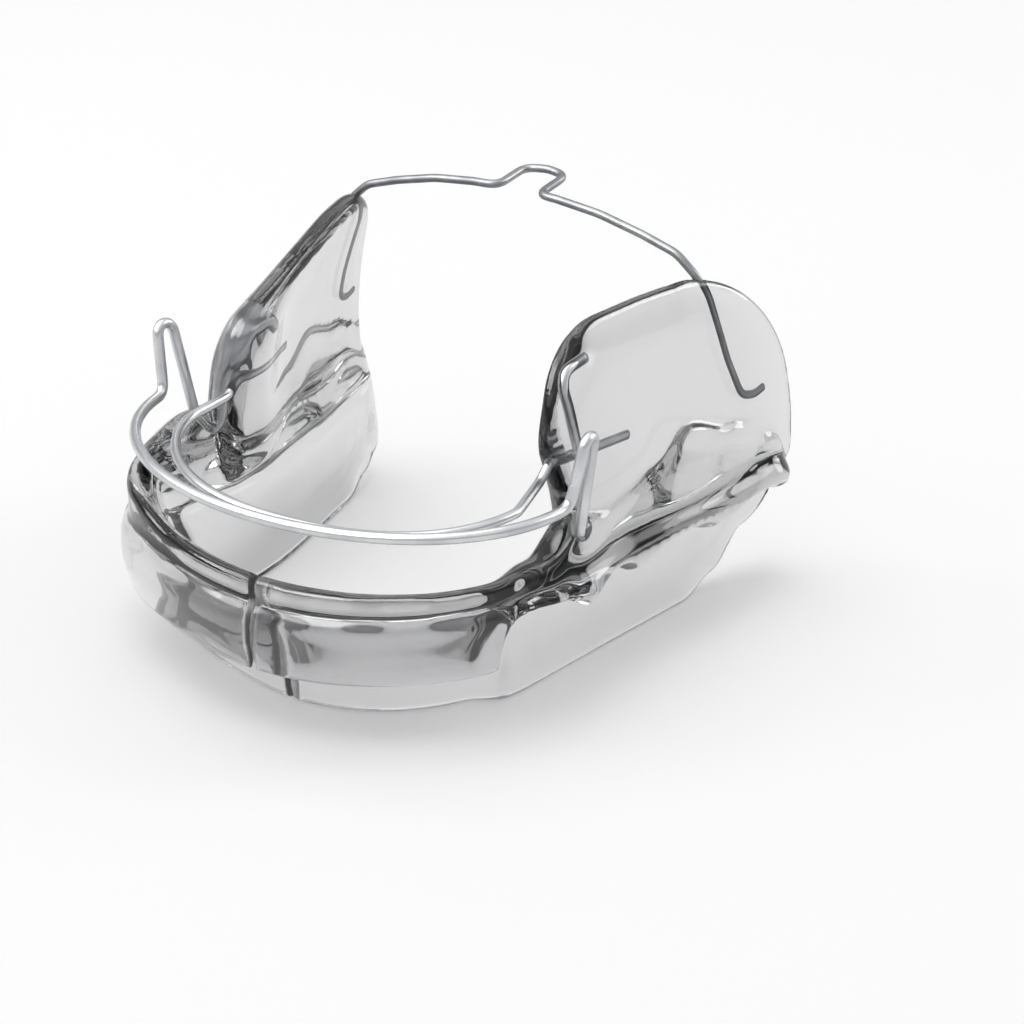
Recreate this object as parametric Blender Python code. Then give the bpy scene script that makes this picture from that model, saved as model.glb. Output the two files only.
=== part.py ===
"""Removable bite appliance: two clear acrylic halves joined by three steel wires.

Each acrylic half caps the lower front teeth, runs back along the inner side of the
side teeth and stands up beside the tongue as a thin wing. A saw cut at the midline
parts the halves. A labial bow and an inner bow cross in front, and a palatal bar with
a loop crosses behind; their ends lie in channels inside the wings.

Frame while modelling: +X is the wearer's left, -Y the front, Y = 0 the line through
the canines, and Z = 0 the level on which the flanges stand. At the end the part is
moved so that its origin is the bottom centre of its box. Sizes are in metres.
"""

import math
from dataclasses import dataclass

import bmesh
import bpy
from mathutils import Matrix, Vector

# Dental arch: the guide line runs along the biting edges of the lower teeth
ARCH_HALF_WIDTH = 0.0163
ARCH_DEPTH = 0.0153
ARCH_SPREAD = math.radians(10.0)
BITE_HEIGHT = 0.0100
SAW_CUT = 0.00035
BULGE_AT = -0.0070
BULGE_SPAN = 0.0070

# Cap over the front teeth
CAP_RIM_WALL = 0.0014
CAP_RIM_REACH = 0.0009
CAP_RIDGE_HEIGHT = 0.0107
CAP_RIDGE_REACH = 0.0023
CAP_BORDER_HEIGHT = 0.0053
CAP_LABIAL_WALL = 0.0011
CAP_FLANGE_REACH = 0.0045
CAP_END = -0.0072
CAP_BLEND = 0.0036

# Flange and bite body along the side teeth
FLANGE_WALL = 0.0019
FLANGE_REACH = 0.0031
BODY_REACH = 0.0018
BODY_END_RADIUS = 0.0035
FOOT_LIP_HEIGHT = 0.0083
LIP_REACH = 0.0009
LUG_REACH = 0.0012
LUG_LENGTH = 0.0042
REST_TRIM = 0.00025
BOTTOM_LINE = ((-0.0260, 0.0), (0.0180, 0.0), (0.0215, 0.0014), (0.0255, 0.0044), (0.0300, 0.0080))

# Wing plate
WING_THICKNESS = 0.0024
WING_OFFSET = -0.0004
WING_FOOT = 0.0098
WING_LEAN = 0.0030
WING_LEAN_START = 0.0150
WING_LEAN_SPAN = 0.0140
WING_COLUMN_AT = 0.0033
WING_COLUMN_WIDTH = 0.0040
WING_THIN_START = 0.0190
WING_THIN_SPAN = 0.0050
WING_TAPER = 0.0026
WING_CELL = 0.0024
OUTLINE_STEP = 0.0014

# Lower teeth that leave their print: (width along the arch, reach across, outward offset)
TEETH = (
    (0.0053, 0.0018, 0.0004), (0.0058, 0.0018, 0.0004), (0.0068, 0.0021, 0.0003),
    (0.0070, 0.0070, 0.0034), (0.0072, 0.0078, 0.0038), (0.0110, 0.0100, 0.0050), (0.0100, 0.0100, 0.0050),
)
TOOTH_CROWN = 0.0094

# Wires: diameters, the room round them in the acrylic, and the radius of their bends
LABIAL_WIRE = 0.0009
INNER_WIRE = 0.0008
BAR_WIRE = 0.0007
CHANNEL_GAP = 0.0003
BEND_RADIUS = 0.0010
GENTLE_RADIUS = 0.0060
BEND_ANGLE = math.radians(7.0)
SHARP_BEND_ANGLE = math.radians(14.0)
WIRE_STEP = 0.0021

LABIAL_HALF_WIDTH = 0.0193
LABIAL_DEPTH = 0.0140
LABIAL_AT = -0.0027
LABIAL_HEIGHT = 0.0180
LABIAL_TAG_OFFSET = 0.00070
LOOP_HEIGHT = 0.0056
LOOP_WIDTH = 0.0016
LOOP_FLARE = 0.0010

INNER_HALF_WIDTH = 0.0159
INNER_DEPTH = 0.0133
INNER_AT = -0.0021
INNER_HEIGHT = 0.0176
INNER_SHIFT = 0.0004
INNER_TAG_OFFSET = -0.00065

BAR_ENTRY_AT = 0.0204
BAR_HEIGHT = 0.0322
OMEGA_HALF_WIDTH = 0.0020
OMEGA_DEPTH = 0.0043

SHARP_ANGLE = math.radians(35.0)


@dataclass(frozen=True)
class Half:
    """What differs between the two hand-trimmed halves.

    The bulge is how far the arch stands out at the canine. The hook height is that of
    the labial bow's tag. The column is how much the wing thickens over the tags, and the
    wing edge how thick its upper rim is. The top line gives the height of the body's upper
    edge as (distance from the canine line, height). The wing's front corners are (y, z, radius),
    the foot first. Its rear corners and the points of the bar's tag start instead with how far
    they are set back from the half's end.
    """

    name: str
    side: int
    length: float
    bulge: float
    hook_height: float
    column: float
    wing_edge: float
    inner_fullness: float
    top_line: tuple
    wing_front: tuple
    wing_rear: tuple
    bar_tag: tuple


LEFT = Half(
    name="acrylic_left",
    side=1,
    length=0.0286,
    bulge=0.0003,
    hook_height=0.0261,
    column=0.32,
    wing_edge=0.0016,
    inner_fullness=2.35,
    top_line=(
        (-0.0260, 0.0128), (-0.0060, 0.0123), (-0.0028, 0.0126), (0.0012, 0.0150), (0.0040, 0.0146),
        (0.0080, 0.0152), (0.0115, 0.0159), (0.0150, 0.0179), (0.0205, 0.0163), (0.0270, 0.0136),
        (0.0300, 0.0126),
    ),
    wing_front=((0.0026, WING_FOOT, 0.0010), (0.0130, 0.0286, 0.0300), (-0.0010, 0.0285, 0.0080)),
    wing_rear=((-0.0003, WING_FOOT, 0.0020), (0.0010, 0.0279, 0.0105)),
    bar_tag=((0.0030, 0.0176), (0.0043, 0.0173), (0.0059, 0.0177), (0.0070, 0.0210), (0.0074, 0.0238)),
)
RIGHT = Half(
    name="acrylic_right",
    side=-1,
    length=0.0266,
    bulge=0.0033,
    hook_height=0.0222,
    column=0.90,
    wing_edge=0.0024,
    inner_fullness=2.0,
    top_line=(
        (-0.0260, 0.0128), (-0.0160, 0.0129), (-0.0090, 0.0141), (-0.0040, 0.0150), (0.0005, 0.0155),
        (0.0080, 0.0153), (0.0115, 0.0159), (0.0150, 0.0176), (0.0205, 0.0163), (0.0270, 0.0136),
        (0.0300, 0.0126),
    ),
    wing_front=((-0.0006, WING_FOOT, 0.0010), (0.0160, 0.0286, 0.0120), (0.0004, 0.0238, 0.0045)),
    wing_rear=((0.0014, WING_FOOT, 0.0020), (0.0036, 0.0293, 0.0045)),
    bar_tag=((0.0039, 0.0188), (0.0053, 0.0185), (0.0068, 0.0190), (0.0067, 0.0214), (0.0061, 0.0240)),
)


def smooth(value):
    """Ease a share between 0 and 1, with flat ends."""
    value = min(max(value, 0.0), 1.0)
    return value * value * (3.0 - 2.0 * value)


def hump(distance, width):
    """A bell that is 1 at distance 0 and fades over the width."""
    return math.exp(-(distance / width) ** 2)


def along(line, distance):
    """Height of a line of (distance, height) points at a distance."""
    for (start, low), (end, high) in zip(line, line[1:]):
        if distance <= end:
            return low + (high - low) * smooth((distance - start) / (end - start))
    return line[-1][1]


def doubled(loop):
    """A closed loop with a smooth point added between each pair of its points."""
    count = len(loop)
    result = []
    for index, point in enumerate(loop):
        before, after, beyond = (loop[(index + step) % count] for step in (-1, 1, 2))
        result.append(point)
        result.append((9.0 * (point + after) - before - beyond) / 16.0)
    return result


def arch_front(share):
    """Point and outward direction on the front curve, from midline (0) to canine (1)."""
    handle = 0.5523
    ends = (Vector((0.0, -ARCH_DEPTH)), Vector((ARCH_HALF_WIDTH, 0.0)))
    run = Vector((math.sin(ARCH_SPREAD), math.cos(ARCH_SPREAD)))
    curve = (
        ends[0], ends[0] + Vector((handle * ARCH_HALF_WIDTH, 0.0)),
        ends[1] - run * handle * ARCH_DEPTH, ends[1],
    )
    rest = 1.0 - share
    point = sum((curve[i] * math.comb(3, i) * rest ** (3 - i) * share ** i for i in range(4)), Vector((0.0, 0.0)))
    slope = sum(
        ((curve[i + 1] - curve[i]) * math.comb(2, i) * rest ** (2 - i) * share ** i for i in range(3)),
        Vector((0.0, 0.0)),
    ).normalized()
    return point, Vector((slope.y, -slope.x))


def arch(distance, bulge):
    """Point and outward direction on the guide line at a distance from the canine line."""
    run = Vector((math.sin(ARCH_SPREAD), math.cos(ARCH_SPREAD)))
    point, outward = arch_front(1.0)
    if distance >= 0.0:
        point = point + run * distance
    left = -distance
    steps = 200
    for step in range(1, steps + 1):
        if left <= 0.0:
            break
        nearer, outward = arch_front(1.0 - step / steps)
        left -= (nearer - point).length
        point = nearer
    return point + outward * bulge * hump(distance - BULGE_AT, BULGE_SPAN), outward


def front_length():
    """Length of the guide line from the canine line to the midline."""
    points = [arch_front(step / 200)[0] for step in range(201)]
    return sum((b - a).length for a, b in zip(points, points[1:]))


def tray_section(distance, half):
    """Cross-section of the cap and bite body as (outward, up) points, at a distance."""
    top = along(half.top_line, distance)
    lift = along(BOTTOM_LINE, distance)
    low = lift - REST_TRIM
    share = smooth((distance - CAP_END) / CAP_BLEND)
    flange_in = -(CAP_FLANGE_REACH + (FLANGE_REACH - CAP_FLANGE_REACH) * share)
    flange_out = flange_in + FLANGE_WALL
    rim = CAP_RIM_WALL / 2.0
    cheek = CAP_RIDGE_REACH - CAP_LABIAL_WALL
    cap = (
        (CAP_RIDGE_REACH - 0.0004, CAP_BORDER_HEIGHT),
        (CAP_RIDGE_REACH + 0.0001, CAP_BORDER_HEIGHT + 0.0022),
        (CAP_RIDGE_REACH, CAP_RIDGE_HEIGHT - 0.0009),
        (CAP_RIDGE_REACH - 0.0005, CAP_RIDGE_HEIGHT + 0.0002),
        (CAP_RIM_REACH + rim, top - 0.0012),
        (CAP_RIM_REACH + rim, top - 0.0004),
        (CAP_RIM_REACH, top),
        (CAP_RIM_REACH - rim, top - 0.0005),
        (CAP_RIM_REACH - rim - 0.0011, top - 0.0025),
        (-0.0032, BITE_HEIGHT - 0.0045),
        (flange_in + 0.0001, 0.0030),
        (flange_in, low + 0.0007),
        (flange_in + FLANGE_WALL * 0.45, low),
        (flange_out, low + 0.0008),
        (flange_out + 0.0004, 0.0028),
        (-0.0016, BITE_HEIGHT - 0.0046),
        (-0.0010, BITE_HEIGHT - 0.0014),
        (0.0001, BITE_HEIGHT - 0.0001),
        (cheek - 0.0002, BITE_HEIGHT - 0.0014),
        (cheek, CAP_BORDER_HEIGHT + 0.0010),
        (cheek + 0.0002, CAP_BORDER_HEIGHT),
        (cheek + 0.0005, CAP_BORDER_HEIGHT - 0.0004),
    )
    reach = BODY_REACH + LUG_REACH * hump(distance, LUG_LENGTH)
    lip = reach + LIP_REACH
    body = (
        (lip - 0.0005, FOOT_LIP_HEIGHT + 0.0004),
        (lip, FOOT_LIP_HEIGHT + 0.0016),
        (lip - 0.0003, FOOT_LIP_HEIGHT + 0.0026),
        (reach - 0.0002, min(FOOT_LIP_HEIGHT + 0.0038, top - 0.0016)),
        (reach - 0.0005, top - 0.0008),
        (reach - 0.0010, top),
        (reach * 0.1, top + 0.0001),
        (-0.0009, top - 0.0006),
        (-0.0017, top - 0.0032),
        (-0.0026, BITE_HEIGHT - 0.0020 + lift * 0.2),
        (flange_in + 0.0001, 0.0036 + lift * 0.6),
        (flange_in, low + 0.0007),
        (flange_in + FLANGE_WALL * 0.45, low),
        (flange_out, low + 0.0008),
        (flange_out + 0.0001, 0.0036 + lift * 0.6),
        (-0.0010, BITE_HEIGHT - 0.0040 + lift * 0.2),
        (-0.0008, FOOT_LIP_HEIGHT - 0.0008),
        (-0.0002, FOOT_LIP_HEIGHT + 0.0003),
        (0.0004, FOOT_LIP_HEIGHT + 0.0004),
        (0.0009, FOOT_LIP_HEIGHT + 0.0002),
        (reach - 0.0008, FOOT_LIP_HEIGHT),
        (reach - 0.0006, FOOT_LIP_HEIGHT - 0.0001),
    )
    return [Vector(a) * (1.0 - share) + Vector(b) * share for a, b in zip(cap, body)]


def tray_stations(half):
    """(distance, scale) of each cross-section, closer together where the shape changes."""
    start = -front_length()
    blend_end = CAP_END + CAP_BLEND
    last = half.length - BODY_END_RADIUS
    distances = [start + (CAP_END - start) * step / 10 for step in range(10)]
    distances += [CAP_END + CAP_BLEND * step / 4 for step in range(5)]
    distances += [blend_end + (last - blend_end) * step / 13 for step in range(1, 14)]
    stations = [(distance, 1.0) for distance in distances]
    for turn in (30.0, 52.0, 70.0):
        angle = math.radians(turn)
        stations.append((last + BODY_END_RADIUS * math.sin(angle), math.cos(angle)))
    return stations


def tray_mesh(half):
    """Cap, flange and bite body: cross-sections lofted along the arch, with a round back end."""
    mesh = bmesh.new()
    rings = []
    last = half.length - BODY_END_RADIUS
    for distance, scale in tray_stations(half):
        point, outward = arch(distance, half.bulge)
        section = doubled(tray_section(min(distance, last), half))
        centre = sum(section, Vector((0.0, 0.0))) / len(section)
        ring = []
        for corner in section:
            u, z = centre + (corner - centre) * scale
            ring.append(mesh.verts.new((point.x + outward.x * u, point.y + outward.y * u, z)))
        rings.append(ring)
    for ring, following in zip(rings, rings[1:]):
        for index in range(len(ring)):
            after = (index + 1) % len(ring)
            mesh.faces.new((ring[index], following[index], following[after], ring[after]))
    mesh.faces.new(rings[0])
    mesh.faces.new(reversed(rings[-1]))
    bmesh.ops.recalc_face_normals(mesh, faces=mesh.faces)
    trim(mesh, Vector((0.0, 0.0, 0.0)), Vector((0.0, 0.0, -1.0)))
    trim(mesh, Vector((SAW_CUT / 2.0, 0.0, 0.0)), Vector((-1.0, 0.0, 0.0)))
    bmesh.ops.triangulate(mesh, faces=mesh.faces)
    return mesh


def trim(mesh, point, outward):
    """Grind the mesh flat: remove what lies beyond a plane and close the cut."""
    bmesh.ops.bisect_plane(
        mesh, geom=mesh.verts[:] + mesh.edges[:] + mesh.faces[:], dist=1e-7,
        plane_co=point, plane_no=outward, clear_outer=True,
    )
    rim = [edge for edge in mesh.edges if edge.is_boundary]
    bmesh.ops.holes_fill(mesh, edges=rim, sides=0)
    bmesh.ops.recalc_face_normals(mesh, faces=mesh.faces)


def wing_middle(y, z):
    """X of the wing's middle surface: it follows the arch and leans in at the top."""
    lean = WING_LEAN * max(0.0, (z - WING_LEAN_START) / WING_LEAN_SPAN) ** 1.5
    return ARCH_HALF_WIDTH + y * math.tan(ARCH_SPREAD) + WING_OFFSET - lean


def wing_outline(half):
    """The wing's outline as (y, z) points with round corners."""
    foot, *upper = half.wing_front
    rear = [(half.length - setback, z, radius) for setback, z, radius in half.wing_rear]
    corners = [(Vector((y, z)), radius) for y, z, radius in (foot, *rear, *upper)]
    outline = []
    for index, (corner, radius) in enumerate(corners):
        before = (corners[index - 1][0] - corner).normalized()
        after = (corners[(index + 1) % len(corners)][0] - corner).normalized()
        turn = math.pi - before.angle(after)
        steps = max(2, round(radius * turn / OUTLINE_STEP))
        outline += corner_arc(corner, before, after, radius, steps)
    return outline


def corner_arc(corner, before, after, radius, steps):
    """Points of the round corner between two directions that lead away from it."""
    half = before.angle(after) / 2.0
    centre = corner + (before + after).normalized() * radius / math.sin(half)
    start = corner + before * radius / math.tan(half) - centre
    end = corner + after * radius / math.tan(half) - centre
    sweep = start.angle(end)
    points = []
    for step in range(steps + 1):
        angle = sweep * step / steps
        points.append(centre + (start * math.sin(sweep - angle) + end * math.sin(angle)) / math.sin(sweep))
    return points


def edge_distance(point, outline):
    """Distance from a (y, z) point to the nearest stretch of the outline."""
    nearest = math.inf
    for start, end in zip(outline, outline[1:] + outline[:1]):
        run = end - start
        share = min(max((point - start).dot(run) / run.length_squared, 0.0), 1.0)
        nearest = min(nearest, (point - start - run * share).length)
    return nearest


def wing_thickness(y, z, inset, half):
    """The wing's thickness at an inset from its edge: full over the tags, thin at the upper rim."""
    full = WING_THICKNESS * (1.0 + half.column * hump(y - WING_COLUMN_AT, WING_COLUMN_WIDTH))
    rim = full + (half.wing_edge - full) * smooth((z - WING_THIN_START) / WING_THIN_SPAN)
    return rim + (full - rim) * smooth(inset / WING_TAPER)


def wing_mesh(half):
    """Wing plate: outline extruded, edges rounded, then given its thickness and bent to the arch."""
    mesh = bmesh.new()
    flat = half.wing_edge / 2.0
    outline = wing_outline(half)
    face = mesh.faces.new([mesh.verts.new((-flat, y, z)) for y, z in outline])
    walls = bmesh.ops.extrude_face_region(mesh, geom=[face])["geom"]
    lifted = [item for item in walls if isinstance(item, bmesh.types.BMVert)]
    bmesh.ops.translate(mesh, vec=(half.wing_edge, 0.0, 0.0), verts=lifted)
    bmesh.ops.recalc_face_normals(mesh, faces=mesh.faces)
    rims = [edge for edge in mesh.edges if abs(edge.verts[0].co.x - edge.verts[1].co.x) < 1e-7]
    bmesh.ops.bevel(
        mesh, geom=rims, offset=flat * 0.94, affect="EDGES", segments=3, profile=0.5, material=-1,
    )
    for axis, normal in ((0, Vector((0.0, 1.0, 0.0))), (1, Vector((0.0, 0.0, 1.0)))):
        low = min(point[axis] for point in outline)
        high = max(point[axis] for point in outline)
        count = math.ceil((high - low) / WING_CELL)
        for step in range(1, count):
            bmesh.ops.bisect_plane(
                mesh, geom=mesh.verts[:] + mesh.edges[:] + mesh.faces[:], dist=1e-7,
                plane_co=normal * (low + (high - low) * step / count), plane_no=normal,
            )
    bmesh.ops.triangulate(mesh, faces=mesh.faces)
    for vertex in mesh.verts:
        x, y, z = vertex.co
        thickness = wing_thickness(y, z, edge_distance(vertex.co.yz, outline), half)
        vertex.co.x = wing_middle(y, z) + x * thickness / half.wing_edge
    return mesh


def tooth_meshes(half):
    """One rounded block for each lower tooth of a half, set side by side along the arch."""
    meshes = []
    distance = -front_length()
    for width, reach, offset in TEETH:
        middle = distance + width / 2.0
        distance += width
        point, outward = arch(middle, half.bulge)
        run = Vector((outward.y, -outward.x, 0.0))
        across = Vector((outward.x, outward.y, 0.0))
        centre = Vector((point.x, point.y, 0.0)) + across * offset
        centre.z = BITE_HEIGHT + 0.0001 - TOOTH_CROWN / 2.0
        mesh = bmesh.new()
        bmesh.ops.create_uvsphere(mesh, u_segments=14, v_segments=8, radius=1.0)
        for vertex in mesh.verts:
            boxy = Vector(math.copysign(abs(part) ** 0.7, part) for part in vertex.co)
            vertex.co = (
                centre + run * boxy.x * (width / 2.0 + 0.0001)
                + across * boxy.y * reach / 2.0 + Vector((0.0, 0.0, boxy.z * TOOTH_CROWN / 2.0))
            )
        bmesh.ops.triangulate(mesh, faces=mesh.faces)
        meshes.append(mesh)
    return meshes


def bent(points, spacing):
    """A wire's centre line: round bends at the corners, and even points between them."""
    path = [points[0]]
    for before, corner, after in zip(points, points[1:], points[2:]):
        toward, away = before - corner, after - corner
        turn = math.pi - toward.angle(after - corner)
        if turn < BEND_ANGLE:
            path.append(corner)
            continue
        sharp = turn > SHARP_BEND_ANGLE
        room = 0.46 * min(toward.length, away.length)
        radius = min(BEND_RADIUS if sharp else GENTLE_RADIUS, room / math.tan(turn / 2.0))
        steps = max(2, math.ceil(turn / math.radians(26.0))) if sharp else 1
        path += corner_arc(corner, toward.normalized(), away.normalized(), radius, steps)
    path.append(points[-1])
    even = [path[0]]
    for point in path[1:]:
        gap = point - even[-1]
        if gap.length < 0.00012:
            continue
        pieces = max(1, round(gap.length / spacing))
        start = even[-1]
        even += [start + gap * piece / pieces for piece in range(1, pieces + 1)]
    return even


def whole(left, right):
    """A path from the left end to the midline, and on to the right end, given as its mirror image."""
    return left + [Vector((-p.x, p.y, p.z)) for p in reversed(right[:-1])]


def in_wing(y, z, offset=0.0):
    """A point inside the left wing, an offset outward from its middle surface."""
    return Vector((wing_middle(y, z) + offset, y, z))


def labial_path():
    """Labial bow: hooked tag, rear leg, loop, front leg, and an elliptic front."""
    tag = LABIAL_TAG_OFFSET
    top = LABIAL_HEIGHT + LOOP_HEIGHT
    routes = []
    for half in (LEFT, RIGHT):
        hook = half.hook_height
        route = [
            in_wing(0.0060, hook, tag * 0.6), in_wing(0.0034, hook - 0.0004, tag * 0.6),
            in_wing(0.0029, hook - 0.0017, tag * 0.6), in_wing(0.0029, hook - 0.0030, tag * 0.8),
            in_wing(0.0027, 0.0188, tag), in_wing(0.0026, 0.0172, tag),
            Vector((0.0172, 0.0022, 0.0136)), Vector((0.0184, 0.0002, 0.0138)),
            Vector((LABIAL_HALF_WIDTH + LOOP_FLARE - 0.0002, LABIAL_AT + 0.0006 + LOOP_WIDTH, top - 0.0002)),
            Vector((LABIAL_HALF_WIDTH + LOOP_FLARE, LABIAL_AT + 0.0006, top)),
            Vector((LABIAL_HALF_WIDTH + 0.0001, LABIAL_AT - 0.0001, LABIAL_HEIGHT)),
        ]
        for step in range(1, 17):
            angle = math.radians(6.0 + 84.0 * step / 16)
            route.append(Vector((
                LABIAL_HALF_WIDTH * math.cos(angle), LABIAL_AT - LABIAL_DEPTH * math.sin(angle), LABIAL_HEIGHT,
            )))
        routes.append(bent(route, WIRE_STEP))
    return whole(*routes)


def inner_path():
    """Inner bow: straight tag, a small bend in front of the wing, and an elliptic front."""
    tag = INNER_TAG_OFFSET
    routes = []
    for half in (LEFT, RIGHT):
        power = 2.0 / half.inner_fullness
        route = [
            in_wing(0.0092, 0.0188, tag * 0.6), in_wing(0.0049, 0.0190, tag), in_wing(0.0016, 0.0191, tag),
            Vector((0.01495, 0.0001, 0.0178)),
        ]
        for step in range(1, 17):
            angle = math.radians(8.0 + 82.0 * step / 16)
            route.append(Vector((
                half.side * INNER_SHIFT + INNER_HALF_WIDTH * math.cos(angle) ** power,
                INNER_AT - INNER_DEPTH * math.sin(angle) ** power, INNER_HEIGHT,
            )))
        routes.append(bent(route, WIRE_STEP))
    return whole(*routes)


def bar_path():
    """Palatal bar: hooked tag, an arch over the tongue, and a loop at the midline."""
    span = [
        Vector((0.0169, BAR_ENTRY_AT, BAR_HEIGHT - 0.0040)),
        Vector((0.0151, 0.0203, BAR_HEIGHT - 0.0024)), Vector((0.0120, 0.0202, BAR_HEIGHT - 0.0014)),
        Vector((0.0080, 0.0201, BAR_HEIGHT - 0.0004)), Vector((0.0040, 0.0200, BAR_HEIGHT + 0.0001)),
        Vector((OMEGA_HALF_WIDTH, 0.0204, BAR_HEIGHT)),
        Vector((OMEGA_HALF_WIDTH, 0.0204 + OMEGA_DEPTH, BAR_HEIGHT + 0.0003)),
        Vector((0.0, 0.0208 + OMEGA_DEPTH, BAR_HEIGHT + 0.0004)),
    ]
    routes = []
    for half in (LEFT, RIGHT):
        tag = [in_wing(half.length - setback, z) for setback, z in half.bar_tag]
        routes.append(bent(tag + [in_wing(0.0211, 0.0264)] + span, WIRE_STEP))
    return whole(*routes)


def wire(name, path, diameter, material):
    """A round wire: a poly curve with a round bevel and filled ends."""
    curve = bpy.data.curves.new(name, "CURVE")
    curve.dimensions = "3D"
    curve.bevel_depth = diameter / 2.0
    curve.bevel_resolution = 2
    curve.use_fill_caps = True
    spline = curve.splines.new("POLY")
    spline.points.add(len(path) - 1)
    for slot, point in zip(spline.points, path):
        slot.co = (*point, 1.0)
    if material:
        curve.materials.append(material)
    piece = bpy.data.objects.new(name, curve)
    bpy.context.collection.objects.link(piece)
    return piece


def mesh_object(name, mesh, material=None):
    """A named object that holds a bmesh."""
    data = bpy.data.meshes.new(name)
    mesh.to_mesh(data)
    mesh.free()
    if material:
        data.materials.append(material)
    piece = bpy.data.objects.new(name, data)
    bpy.context.collection.objects.link(piece)
    return piece


def baked(piece):
    """The piece's mesh with its modifiers applied."""
    bpy.context.view_layer.update()
    depsgraph = bpy.context.evaluated_depsgraph_get()
    return bpy.data.meshes.new_from_object(piece.evaluated_get(depsgraph), depsgraph=depsgraph)


def combine(piece, tool, operation):
    """Join another piece on, or cut it out, and delete that piece."""
    modifier = piece.modifiers.new(operation.lower(), "BOOLEAN")
    modifier.operation = operation
    modifier.solver = "MANIFOLD"
    modifier.object = tool
    data = baked(piece)
    piece.modifiers.clear()
    piece.data = data
    bpy.data.objects.remove(tool, do_unlink=True)


def channel(path, diameter):
    """The room that a wire takes, with its clearance, as a mesh object."""
    guide = wire("channel_guide", path, diameter + 2.0 * CHANNEL_GAP, None)
    mesh = bmesh.new()
    mesh.from_mesh(baked(guide))
    bmesh.ops.remove_doubles(mesh, verts=mesh.verts, dist=1e-6)
    bpy.data.objects.remove(guide, do_unlink=True)
    return mesh_object("channel", mesh)


def mirrored(mesh):
    """The same mesh on the other side of the midline, facing outward."""
    bmesh.ops.scale(mesh, vec=(-1.0, 1.0, 1.0), verts=mesh.verts)
    bmesh.ops.reverse_faces(mesh, faces=mesh.faces)
    return mesh


def acrylic_half(half, wires, material):
    """One half: tray and wing joined, printed by the teeth, and channelled for the wires."""
    def placed(mesh):
        return mesh if half.side > 0 else mirrored(mesh)

    piece = mesh_object(half.name, placed(tray_mesh(half)), material)
    combine(piece, mesh_object("wing", placed(wing_mesh(half))), "UNION")
    for tooth in tooth_meshes(half):
        combine(piece, mesh_object("tooth", placed(tooth)), "DIFFERENCE")
    for path, diameter in wires:
        combine(piece, channel(path, diameter), "DIFFERENCE")
    return piece


def surface(name, colour, roughness, metallic, alpha=1.0):
    """A material with one Principled BSDF."""
    material = bpy.data.materials.new(name)
    material.use_nodes = True
    shader = material.node_tree.nodes["Principled BSDF"]
    shader.inputs["Base Color"].default_value = (*colour, 1.0)
    shader.inputs["Roughness"].default_value = roughness
    shader.inputs["Metallic"].default_value = metallic
    shader.inputs["Alpha"].default_value = alpha
    return material


def tidy(piece):
    """Turn a piece into one clean mesh, smooth apart from its true edges."""
    data = baked(piece)
    mesh = bmesh.new()
    mesh.from_mesh(data)
    bmesh.ops.remove_doubles(mesh, verts=mesh.verts, dist=1e-6)
    bmesh.ops.triangulate(mesh, faces=mesh.faces)
    mesh.to_mesh(data)
    mesh.free()
    data.shade_smooth()
    data.set_sharp_from_angle(angle=SHARP_ANGLE)
    name = piece.name
    bpy.data.objects.remove(piece, do_unlink=True)
    result = bpy.data.objects.new(name, data)
    bpy.context.collection.objects.link(result)
    return result


def set_origin(pieces):
    """Move every mesh so that the part's origin is the bottom centre of its box."""
    corners = [vertex.co for piece in pieces for vertex in piece.data.vertices]
    low = Vector(min(corner[axis] for corner in corners) for axis in range(3))
    high = Vector(max(corner[axis] for corner in corners) for axis in range(3))
    shift = Matrix.Translation((-(low.x + high.x) / 2.0, -(low.y + high.y) / 2.0, -low.z))
    for piece in pieces:
        piece.data.transform(shift)


def main():
    """Build the part in an empty scene."""
    for item in list(bpy.data.objects):
        bpy.data.objects.remove(item, do_unlink=True)
    acrylic = surface("clear_acrylic", (0.80, 0.81, 0.82), 0.08, 0.0, alpha=0.35)
    steel = surface("stainless_spring_wire", (0.62, 0.62, 0.63), 0.22, 1.0)
    routes = {
        "labial_bow": (labial_path(), LABIAL_WIRE),
        "inner_bow": (inner_path(), INNER_WIRE),
        "palatal_bar": (bar_path(), BAR_WIRE),
    }
    wires = list(routes.values())
    pieces = [acrylic_half(half, wires, acrylic) for half in (LEFT, RIGHT)]
    pieces += [wire(name, path, diameter, steel) for name, (path, diameter) in routes.items()]
    set_origin([tidy(piece) for piece in pieces])


main()
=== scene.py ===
"""Bite appliance in clear acrylic and bent steel wire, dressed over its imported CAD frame.

Each acrylic half is lofted along the dental arch, joined with its wing, printed by the
lower teeth and polished to one skin. The wires are swept along their bent routes and run
on inside the acrylic, because there the acrylic is cured onto them.

Routes and outlines are given in the bench frame of the part's design, with Y = 0 on the
line through the canines, and are moved into the CAD frame at the end. Sizes are in metres.
"""

import logging
import math
from dataclasses import dataclass
from enum import Enum
from functools import cached_property
from typing import Iterable, Sequence

import bmesh
import bpy
from bmesh.types import BMEdge, BMesh, BMVert
from bpy.types import Material, Node, NodeSocket, NodeTree, Object
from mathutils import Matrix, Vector, noise


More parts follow.
